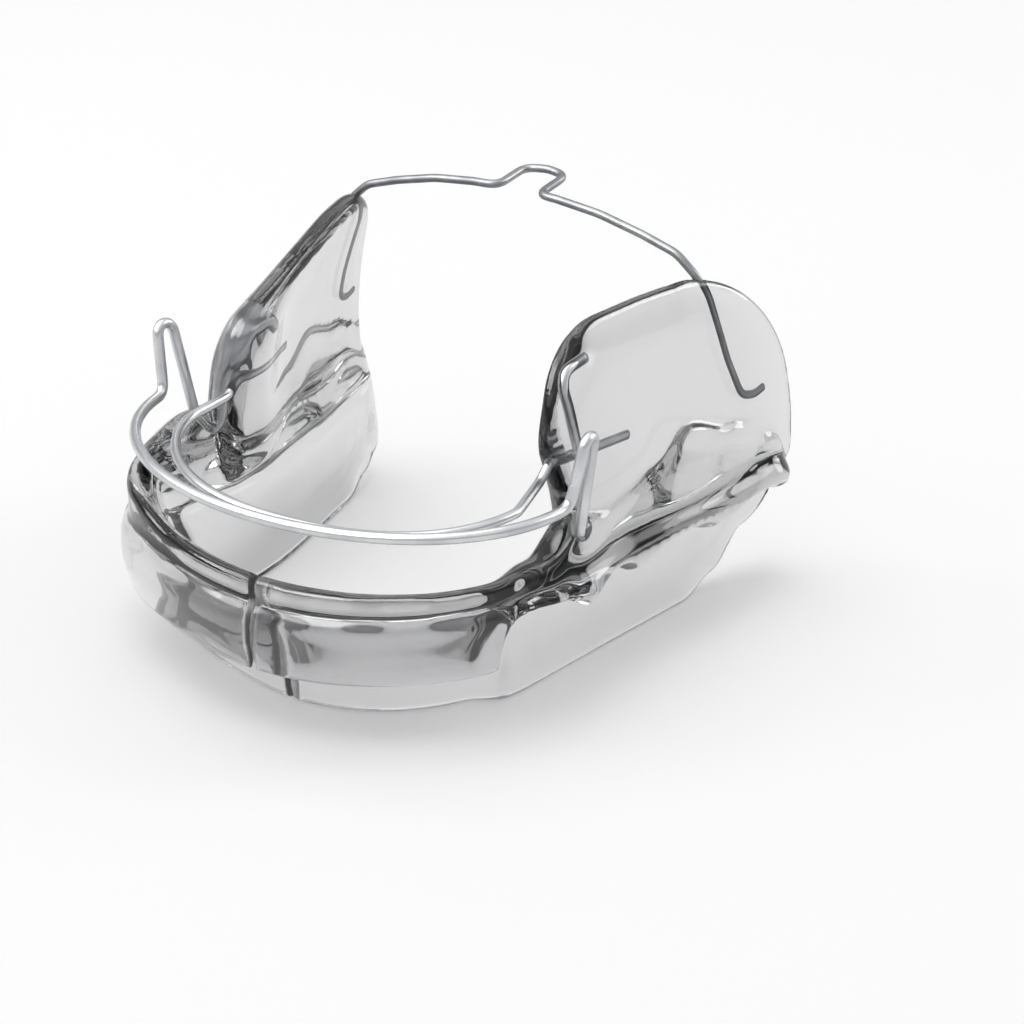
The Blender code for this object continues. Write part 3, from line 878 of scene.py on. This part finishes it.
@dataclass
class Wire:
    """A bent wire, swept along a smooth centre line."""

    node: str
    diameter: float
    route: list[Vector]
    spacing: float = 0.00022
    sides: int = 18
    softness: int = 5
    line_stretch: float = 0.02
    chamfer: float = 0.35
    sharp_angle: float = math.radians(50.0)

    def centre_line(self) -> list[Vector]:
        """Even, softly rounded points along the route.

        Returns:
            The points, from one end to the other.
        """
        points = self.route
        runs = [0.0]
        for before, after in zip(points, points[1:]):
            runs.append(runs[-1] + (after - before).length)
        count = math.ceil(runs[-1] / self.spacing)
        even = []
        index = 0
        for step in range(count + 1):
            run = runs[-1] * step / count
            while index < len(runs) - 2 and runs[index + 1] < run:
                index += 1
            share = (run - runs[index]) / (runs[index + 1] - runs[index])
            even.append(points[index].lerp(points[index + 1], share))
        for _ in range(self.softness):
            soft = [even[0]]
            soft += [(a + b * 2.0 + c) / 4.0 for a, b, c in zip(even, even[1:], even[2:])]
            soft.append(even[-1])
            even = soft
        return even

    def build(self, shift: Vector, material: Material) -> Object:
        """Sweep the wire, with chamfered ends, and let it stand for its CAD node.

        Args:
            shift: From the bench to the CAD frame.
            material: The wire's material.

        Returns:
            The finished piece.
        """
        line = [point + shift for point in self.centre_line()]
        radius = self.diameter / 2.0
        tip = 1.0 - self.chamfer
        angles = [math.tau * turn / self.sides for turn in range(self.sides)]
        spokes = [(math.cos(angle), math.sin(angle)) for angle in angles]
        ahead = (line[1] - line[0]).normalized()
        upright = ahead.orthogonal().normalized()
        rings = []
        runs = []
        run = 0.0
        last = len(line) - 1
        for index, point in enumerate(line):
            following = line[min(index + 1, last)]
            before = line[max(index - 1, 0)]
            heading = (following - before).normalized()
            upright = ahead.rotation_difference(heading) @ upright
            ahead = heading
            side = heading.cross(upright)
            run += (point - before).length
            steps = [(0.0, 1.0)]
            if index == 0:
                steps = [(0.0, tip), (radius * self.chamfer, 1.0)]
            if index == last:
                steps = [(-radius * self.chamfer, 1.0), (0.0, tip)]
            for along, size in steps:
                middle = point + heading * along
                ring = [middle + (upright * up + side * across) * radius * size for up, across in spokes]
                rings.append(ring)
                runs.append(run + along)
        mesh = bmesh.new()
        layer = mesh.verts.layers.float_vector.new("run")
        for ring, run in zip(loft(mesh, rings), runs):
            for vertex, (up, across) in zip(ring, spokes):
                vertex[layer] = (radius * up, radius * across, run * self.line_stretch)
        piece = mesh_object(f"{self.node}_drawn", mesh)
        piece.data.shade_smooth()
        piece.data.set_sharp_from_angle(angle=self.sharp_angle)
        piece.data.materials.append(material)
        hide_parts(self.node)
        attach(piece, "root")
        return piece


@dataclass(frozen=True)
class Pliers:
    """Round-nosed pliers, which give each bend of a wire its radius."""

    bend: float = 0.0010
    slight_bend: float = 0.0060
    slight: float = math.radians(14.0)
    straight: float = math.radians(3.0)
    room: float = 0.46
    arc_step: float = math.radians(8.0)

    def rounded(self, points: Sequence[Vector]) -> list[Vector]:
        """Round the bends of a wire's route.

        Args:
            points: The route's corners.

        Returns:
            The route with an arc at each real bend.
        """
        path = [points[0]]
        for before, corner, after in zip(points, points[1:], points[2:]):
            toward, away = before - corner, after - corner
            turn = math.pi - toward.angle(away)
            if turn < self.straight:
                path.append(corner)
                continue
            widest = self.room * min(toward.length, away.length) / math.tan(turn / 2.0)
            radius = min(self.bend if turn > self.slight else self.slight_bend, widest)
            steps = max(2, math.ceil(turn / self.arc_step))
            path += corner_arc(corner, toward.normalized(), away.normalized(), radius, steps)
        path.append(points[-1])
        return path


@dataclass(frozen=True)
class Bow:
    """A wire bow round the front teeth, half an ellipse seen from above.

    It starts at an angle in degrees from straight sideways.
    """

    diameter: float
    half_width: float
    depth: float
    at: float
    height: float
    start: float
    tag: float
    steps: int = 60

    def front(self, fullness: float = 2.0, shift: float = 0.0) -> list[Vector]:
        """Half the bow, from its side to the midline.

        Args:
            fullness: 2 for an ellipse, and more for a squarer bow.
            shift: How far the bow stands towards this side.

        Returns:
            The points after the first.
        """
        power = 2.0 / fullness
        points = []
        for step in range(1, self.steps + 1):
            angle = math.radians(self.start + (90.0 - self.start) * step / self.steps)
            across = shift + self.half_width * math.cos(angle) ** power
            points.append(Vector((across, self.at - self.depth * math.sin(angle) ** power, self.height)))
        return points


@dataclass
class Wirework:
    """The three wires and the routes that the pliers gave them."""

    left: AcrylicHalf
    right: AcrylicHalf
    pliers: Pliers = Pliers()

    labial: Bow = Bow(
        diameter=0.0009, half_width=0.0193, depth=0.0140, at=-0.0027, height=0.0180, start=6.0, tag=0.00070,
    )
    loop_height: float = 0.0056
    loop_width: float = 0.0016
    loop_flare: float = 0.0010

    inner: Bow = Bow(
        diameter=0.0008, half_width=0.0159, depth=0.0133, at=-0.0021, height=0.0176, start=8.0, tag=-0.00065,
    )
    inner_shift: float = 0.0004

    bar_diameter: float = 0.0007
    bar_entry: float = 0.0204
    bar_height: float = 0.0322
    omega_half_width: float = 0.0020
    omega_depth: float = 0.0043

    def labial_side(self, half: AcrylicHalf) -> list[Vector]:
        """One side of the labial bow: hooked tag, rear leg, loop, front leg and half the bow.

        Args:
            half: The acrylic half that holds the tag.

        Returns:
            The route from the tag's end to the midline.
        """
        inside, hook, tag = half.wing.inside, half.hook_height, self.labial.tag
        top = self.labial.height + self.loop_height
        width, at = self.labial.half_width, self.labial.at
        return [
            inside(0.0060, hook, tag * 0.6), inside(0.0034, hook - 0.0004, tag * 0.6),
            inside(0.0029, hook - 0.0017, tag * 0.6), inside(0.0029, hook - 0.0030, tag * 0.8),
            inside(0.0027, 0.0188, tag), inside(0.0026, 0.0172, tag),
            Vector((0.0172, 0.0022, 0.0136)), Vector((0.0184, 0.0002, 0.0138)),
            Vector((width + self.loop_flare - 0.0002, at + 0.0006 + self.loop_width, top - 0.0002)),
            Vector((width + self.loop_flare, at + 0.0006, top)),
            Vector((width + 0.0001, at - 0.0001, self.labial.height)), *self.labial.front(),
        ]

    def inner_side(self, half: AcrylicHalf) -> list[Vector]:
        """One side of the inner bow: straight tag, a small bend, and half the bow.

        Args:
            half: The acrylic half that holds the tag.

        Returns:
            The route from the tag's end to the midline.
        """
        inside, tag = half.wing.inside, self.inner.tag
        return [
            inside(0.0092, 0.0188, tag * 0.6), inside(0.0049, 0.0190, tag), inside(0.0016, 0.0191, tag),
            Vector((0.01495, 0.0001, 0.0178)),
            *self.inner.front(half.inner_fullness, half.side.value * self.inner_shift),
        ]

    def bar_side(self, half: AcrylicHalf) -> list[Vector]:
        """One side of the palatal bar: hooked tag, arch over the tongue, and half the midline loop.

        Args:
            half: The acrylic half that holds the tag.

        Returns:
            The route from the tag's end to the midline.
        """
        width, depth = self.omega_half_width, self.omega_depth
        arch = (
            (0.0169, self.bar_entry, -0.0040), (0.0151, 0.0203, -0.0024), (0.0120, 0.0202, -0.0014),
            (0.0080, 0.0201, -0.0004), (0.0040, 0.0200, 0.0001), (width, 0.0204, 0.0),
            (width, 0.0204 + depth, 0.0003), (0.0, 0.0208 + depth, 0.0004),
        )
        return [
            *(half.wing.inside(y, z) for y, z in half.bar_tag), half.wing.inside(0.0211, 0.0264),
            *(Vector((x, y, self.bar_height + rise)) for x, y, rise in arch),
        ]

    def bench_front(self) -> float:
        """Y of the labial bow's foremost point in the bench frame."""
        return self.labial.at - self.labial.depth - self.labial.diameter / 2.0

    def build(self, shift: Vector, bright: Material, bar_steel_with_painted_shade: Material) -> list[Object]:
        """Sweep the three wires.

        Args:
            shift: From the bench to the CAD frame.
            bright: The polished bows' material.
            bar_steel_with_painted_shade: The bar's material: rougher unpolished steel, whose darker grey is
                painted shade.

        Returns:
            The finished pieces.
        """
        pieces = []
        for node, diameter, side, material in (
            ("labial_bow", self.labial.diameter, self.labial_side, bright),
            ("inner_bow", self.inner.diameter, self.inner_side, bright),
            ("palatal_bar", self.bar_diameter, self.bar_side, bar_steel_with_painted_shade),
        ):
            left, right = (self.pliers.rounded(side(half)) for half in (self.left, self.right))
            mirrored = [Vector((-x, y, z)) for x, y, z in reversed(right[:-1])]
            pieces.append(Wire(node, diameter, left + mirrored).build(shift, material))
        return pieces


@dataclass(frozen=True)
class Window:
    """A bright round window in the sky, which polished surfaces mirror."""

    toward: Triple
    spread: float
    strength: float
    blur: float = 0.15

    def light(self, nodes: Nodes, direction: Source) -> Node:
        """Add the window to the world.

        Args:
            nodes: The world's nodes.
            direction: The direction that is looked in.

        Returns:
            The window's shader.
        """
        toward = Vector(self.toward).normalized()
        facing = nodes.add("VectorMath", {0: direction, 1: toward}, operation="DOT_PRODUCT")
        edge = [math.cos(math.radians(self.spread * share)) for share in (1.0 + self.blur, 1.0 - self.blur)]
        bright = nodes.remap(facing.outputs["Value"], edge, (0.0, self.strength))
        return nodes.add("Background", {"Strength": bright})


@dataclass(frozen=True)
class Lamp:
    """A square soft lamp, whose radiance of 1 is white."""

    name: str
    place: Triple
    size: float
    radiance: float

    def hang(self, aim: Vector) -> None:
        """Hang the lamp.

        Args:
            aim: What it faces.
        """
        data = bpy.data.lights.new(self.name, "AREA")
        data.shape = "SQUARE"
        data.size = self.size
        data.energy = self.radiance * math.pi * self.size ** 2
        lamp = bpy.data.objects.new(self.name, data)
        bpy.context.collection.objects.link(lamp)
        lamp.location = self.place
        lamp.rotation_euler = (aim - Vector(self.place)).to_track_quat("-Z", "Y").to_euler()


@dataclass
class Studio:
    """White table and backdrop, soft lamps, and the camera."""

    shift: Vector
    bench_aim: Triple = (0.0, 0.0195, 0.0030)
    azimuth: float = 32.64
    elevation: float = 26.59
    distance: float = 0.2378
    focal_share: float = 2745.0 / 1024.0
    clip: Pair = (0.01, 20.0)
    paper: str = "F2F2F2"
    paper_size: float = 3.0
    paper_glow: float = 0.16
    soft_light: float = 0.55
    through_stops: Stops = ((0.10, "FFFFFF"), (0.24, "9EA0A3"), (0.46, "929498"), (0.64, "FFFFFF"))
    mirror_stops: Stops = ((0.06, "FFFFFF"), (0.20, "9A9CA0"), (0.36, "B0B2B5"), (0.55, "FFFFFF"))
    windows: tuple[Window, ...] = (
        Window((0.68, 0.55, 0.49), 9.0, 4.0), Window((0.56, 0.78, 0.27), 11.0, 7.0),
        Window((-0.62, -0.45, 0.64), 18.0, 9.0), Window((-0.08, -0.66, 0.75), 17.0, 9.0),
    )
    lamps: tuple[Lamp, ...] = (
        Lamp("overhead_soft_box", (-0.10, -0.02, 0.55), 0.46, 1.8),
        Lamp("left_strip", (-0.45, -0.25, 0.30), 0.16, 3.0),
        Lamp("back_right_window", (0.35, 0.45, 0.38), 0.20, 3.0),
    )

    def aim(self) -> Vector:
        """The point in the CAD frame that the camera and the lamps face."""
        return Vector(self.bench_aim) + self.shift

    def camera(self) -> None:
        """Place the camera at the photograph's viewing angle."""
        turn, rise = math.radians(self.azimuth), math.radians(self.elevation)
        back = Vector((math.sin(turn) * math.cos(rise), -math.cos(turn) * math.cos(rise), math.sin(rise)))
        data = bpy.data.cameras.new("camera")
        data.lens = self.focal_share * data.sensor_width
        data.clip_start, data.clip_end = self.clip
        camera = bpy.data.objects.new("camera", data)
        bpy.context.collection.objects.link(camera)
        camera.location = self.aim() + back * self.distance
        camera.rotation_euler = (-back).to_track_quat("-Z", "Y").to_euler()
        bpy.context.scene.camera = camera

    def sky(self, nodes: Nodes, height: Source, stops: Stops) -> Node:
        """A background whose colour changes with the height of the direction.

        Args:
            nodes: The world's nodes.
            height: The direction's Z, -1 to 1.
            stops: (height, sRGB hex) from low to high.

        Returns:
            The background's shader.
        """
        ramp = nodes.add("ValToRGB", {"Fac": height})
        elements = ramp.color_ramp.elements
        while len(elements) < len(stops):
            elements.new(1.0)
        for element, (position, colour) in zip(elements, stops):
            element.position = position
            element.color = linear(colour)
        return nodes.add("Background", {"Color": ramp})

    def world(self) -> None:
        """A white backdrop, with a dimmer band above it that gives acrylic and wire their dark edges."""
        world = bpy.data.worlds.new("studio")
        bpy.context.scene.world = world
        world.use_nodes = True
        nodes = Nodes(world.node_tree)
        path = nodes.add("LightPath")
        direction = nodes.add("TexCoord").outputs["Generated"]
        height = nodes.add("SeparateXYZ", {"Vector": direction}).outputs["Z"]
        through = self.sky(nodes, height, self.through_stops)
        mirror = self.sky(nodes, height, self.mirror_stops)
        for window in self.windows:
            mirror = nodes.add("AddShader", {0: mirror, 1: window.light(nodes, direction)})
        paint = linear("FFFFFF")
        shown = nodes.add("Background", {"Color": paint, "Strength": self.soft_light})
        white = nodes.add("Background", {"Color": paint})
        for ray, sky in (("Glossy", mirror), ("Transmission", through), ("Camera", white)):
            shown = nodes.add("MixShader", {0: path.outputs[f"Is {ray} Ray"], 1: shown, 2: sky})
        nodes.add("OutputWorld", {"Surface": shown})

    def table(self) -> None:
        """White matte paper, which keeps the shadow and glows a little where camera or glass show it."""
        mesh = bmesh.new()
        bmesh.ops.create_grid(mesh, x_segments=2, y_segments=2, size=self.paper_size)
        floor = mesh_object("paper_floor", mesh)
        material, nodes = fresh_material("white_matte_paper")
        path = nodes.add("LightPath")
        seen = path.outputs["Is Camera Ray"]
        for ray in ("Is Transmission Ray", "Is Glossy Ray"):
            seen = nodes.add("Math", {0: seen, 1: path.outputs[ray]}, operation="MAXIMUM")
        glow = nodes.add("Emission", {"Strength": self.paper_glow})
        diffuse = nodes.add("BsdfDiffuse", {"Color": linear(self.paper)})
        shown = nodes.add("MixShader", {0: seen, 2: glow})
        nodes.add("OutputMaterial", {"Surface": nodes.add("AddShader", {0: diffuse, 1: shown})})
        floor.data.materials.append(material)
        floor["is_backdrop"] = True

    def build(self) -> None:
        """Set the view transform and build the whole studio."""
        bpy.context.scene.view_settings.view_transform = "Standard"
        self.world()
        self.table()
        for lamp in self.lamps:
            lamp.hang(self.aim())
        self.camera()


def left_half() -> AcrylicHalf:
    """The wearer's left half, at the image's right."""
    return AcrylicHalf(
        side=Side.LEFT, length=0.0286, arch=Arch(bulge=0.0003), hook_height=0.0261, inner_fullness=2.35,
        bar_tag=((0.0256, 0.0176), (0.0243, 0.0173), (0.0227, 0.0177), (0.0216, 0.0210), (0.0212, 0.0238)),
        top_line=(
            (-0.0260, 0.0128), (-0.0060, 0.0123), (-0.0028, 0.0126), (0.0012, 0.0150), (0.0040, 0.0146),
            (0.0080, 0.0152), (0.0115, 0.0159), (0.0150, 0.0179), (0.0205, 0.0163), (0.0270, 0.0136),
            (0.0300, 0.0126),
        ),
        wing=Wing(column=0.32, edge=0.0011, back_taper=0.0045, corners=(
            (0.0026, 0.0098, 0.0010), (0.0289, 0.0098, 0.0020), (0.0276, 0.0279, 0.0105),
            (0.0130, 0.0286, 0.0300), (-0.0010, 0.0285, 0.0080),
        )),
    )


def right_half() -> AcrylicHalf:
    """The wearer's right half, trimmed lower at the front and shorter at the back."""
    return AcrylicHalf(
        side=Side.RIGHT, length=0.0266, arch=Arch(bulge=0.0033), hook_height=0.0222, inner_fullness=2.0,
        bar_tag=((0.0227, 0.0188), (0.0213, 0.0185), (0.0198, 0.0190), (0.0199, 0.0214), (0.0205, 0.0240)),
        top_line=(
            (-0.0260, 0.0128), (-0.0160, 0.0129), (-0.0090, 0.0141), (-0.0040, 0.0150), (0.0005, 0.0155),
            (0.0080, 0.0153), (0.0115, 0.0159), (0.0150, 0.0176), (0.0205, 0.0163), (0.0270, 0.0136),
            (0.0300, 0.0126),
        ),
        wing=Wing(column=0.90, edge=0.0024, corners=(
            (-0.0006, 0.0098, 0.0010), (0.0252, 0.0098, 0.0020), (0.0230, 0.0293, 0.0045),
            (0.0160, 0.0286, 0.0120), (0.0004, 0.0238, 0.0045),
        )),
    )


def main() -> None:
    """Build the acrylic, the wires and the studio."""
    logging.basicConfig(level=logging.INFO, format="%(name)s: %(message)s")
    halves = (left_half(), right_half())
    wirework = Wirework(*halves)
    shift = Vector((0.0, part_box("labial_bow")[0][1] - wirework.bench_front(), 0.0))
    acrylic = PolishedAcrylic().material()
    bright = DrawnSteel("polished_stainless_wire").material()
    # The bar is the same steel as the bows. Its higher roughness is the unpolished finish, and its darker
    # grey colours are painted shade.
    bar_steel_with_painted_shade = DrawnSteel(
        "unpolished_wire_with_painted_shade", colour="96979A", dull_colour="7E7F82",
        roughness=0.40, dull_roughness=0.50,
    ).material()
    for piece in [half.build(shift, acrylic) for half in halves] + wirework.build(shift, bright, bar_steel_with_painted_shade):
        LOG.info("%s has %d faces", piece.name, len(piece.data.polygons))
    Studio(shift).build()
    bounds = [[list(corner) for corner in box] for box in (CAD_BOUNDS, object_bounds())]


if __name__ == "__main__":
    main()
